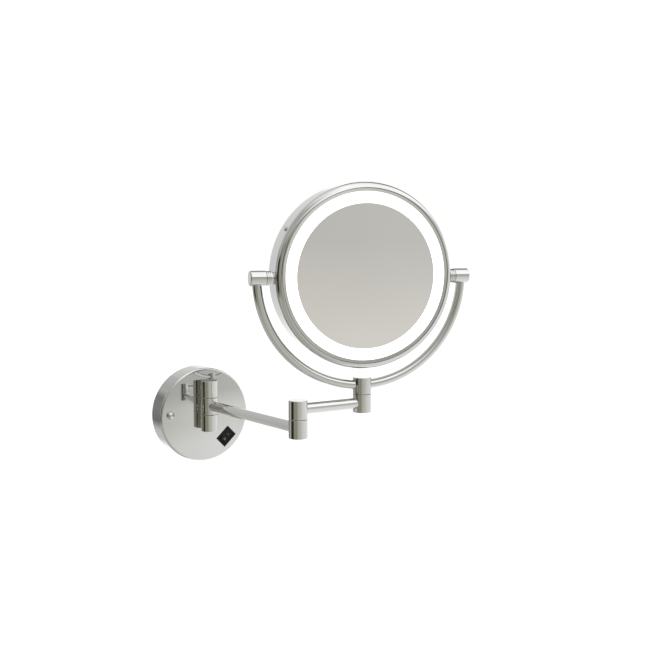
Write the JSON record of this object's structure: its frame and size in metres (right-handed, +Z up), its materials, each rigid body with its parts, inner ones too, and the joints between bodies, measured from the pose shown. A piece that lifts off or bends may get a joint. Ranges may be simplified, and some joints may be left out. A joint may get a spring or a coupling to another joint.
{
  "type": "extendable shaving mirror",
  "caption": "Wall-mounted round shaving mirror with a lit ring in a tilting yoke, on a two-part folding swing arm with a round wall unit and a rocker switch.",
  "frame": {"origin": "centre of the wall unit's back face, on the wall", "axes": "+Y into the wall, -Y out of the wall towards the user, +Z up, +X to the user's right"},
  "size_m": [0.284, 0.2514, 0.3302],
  "materials": {
    "chrome_plate": "polished",
    "zinc_steel": "zinc plated",
    "brass_parts": "machined",
    "steel_screws": "bright",
    "nylon_washer": "matte",
    "cable_sheath": "matte",
    "rubber_bush": "matte",
    "driver_case": "matte",
    "terminal_plastic": "matte",
    "black_plastic": "satin",
    "rocker_plastic": "satin",
    "mirror_face": "polished",
    "frosted_diffuser": "frosted, lit",
    "backing_plastic": "matte",
    "white_plastic": "gloss",
    "board_white": "solder mask",
    "led_yellow": "satin",
    "connector_plastic": "matte"
  },
  "bodies": {
    "wall_unit": {"mounting_bracket": "zinc_steel", "cover_posts": "zinc_steel", "cable_entry_bush": "rubber_bush", "wall_cover": "chrome_plate", "cover_screws": "chrome_plate", "hinge_plate": "zinc_steel", "hinge_nuts": "brass_parts", "wall_hinge_lower": "chrome_plate", "wall_hinge_upper": "chrome_plate", "wall_hinge_pin": "brass_parts", "wall_hinge_washers": "nylon_washer", "led_driver": "driver_case", "driver_screws": "steel_screws", "terminal_block": "terminal_plastic", "terminal_screws": "brass_parts", "switch_housing": "black_plastic", "switch_tabs": "brass_parts"},
    "rocker": {"switch_rocker": "rocker_plastic"},
    "rear_arm": {"rear_arm_inner_hub": "chrome_plate", "rear_arm_tube": "chrome_plate", "rear_arm_outer_hub": "chrome_plate", "rear_arm_pin": "brass_parts", "rear_arm_washer": "nylon_washer", "rear_arm_cable": "cable_sheath"},
    "front_arm": {"front_arm_inner_hub": "chrome_plate", "front_arm_tube": "chrome_plate", "front_arm_outer_hub": "chrome_plate", "front_arm_pin": "brass_parts", "front_arm_washer": "nylon_washer", "front_arm_cable": "cable_sheath", "elbow_set_screw": "steel_screws"},
    "yoke": {"yoke_hub": "chrome_plate", "yoke_tube_left": "chrome_plate", "yoke_tube_right": "chrome_plate", "yoke_cable": "cable_sheath", "yoke_set_screw": "steel_screws", "pivot_barrel_left": "chrome_plate", "pivot_barrel_right": "chrome_plate", "pivot_set_screws": "steel_screws"},
    "head": {"head_casing": "chrome_plate", "front_bezel": "chrome_plate", "casing_screws": "steel_screws", "mirror_glass": "mirror_face", "light_diffuser": "frosted_diffuser", "mirror_backing": "backing_plastic", "reflector_tray": "white_plastic", "led_board": "board_white", "led_chips": "led_yellow", "head_connector": "connector_plastic", "pivot_stud_left": "brass_parts", "pivot_stud_right": "brass_parts", "pivot_collars": "chrome_plate", "pivot_nuts": "brass_parts"}
  },
  "joints": [
    {"name": "switch_rock", "type": "hinge", "parent": "wall_unit", "child": "rocker", "pos_m": [0.02782, -0.027, -0.03025], "axis": [-0.682, 0, 0.7314], "range_deg": [-12, 0]},
    {"name": "wall_swing", "type": "hinge", "parent": "wall_unit", "child": "rear_arm", "pos_m": [0, -0.0405, 0], "axis": [0, 0, 1], "range_deg": [-93.4, 76.6]},
    {"name": "elbow_swing", "type": "hinge", "parent": "rear_arm", "child": "front_arm", "pos_m": [0.02483, -0.20868, 0], "axis": [0, 0, 1], "range_deg": [-243.45, 86.55]},
    {"name": "yoke_swivel", "type": "hinge", "parent": "front_arm", "child": "yoke", "pos_m": [0.10352, -0.21301, 0], "axis": [0, 0, 1], "range_deg": [-170, 170]},
    {"name": "head_tilt", "type": "hinge", "parent": "yoke", "child": "head", "pos_m": [0.10352, -0.21301, 0.1715], "axis": [0.9703, -0.2419, 0], "range_deg": [-90, 90]}
  ]
}
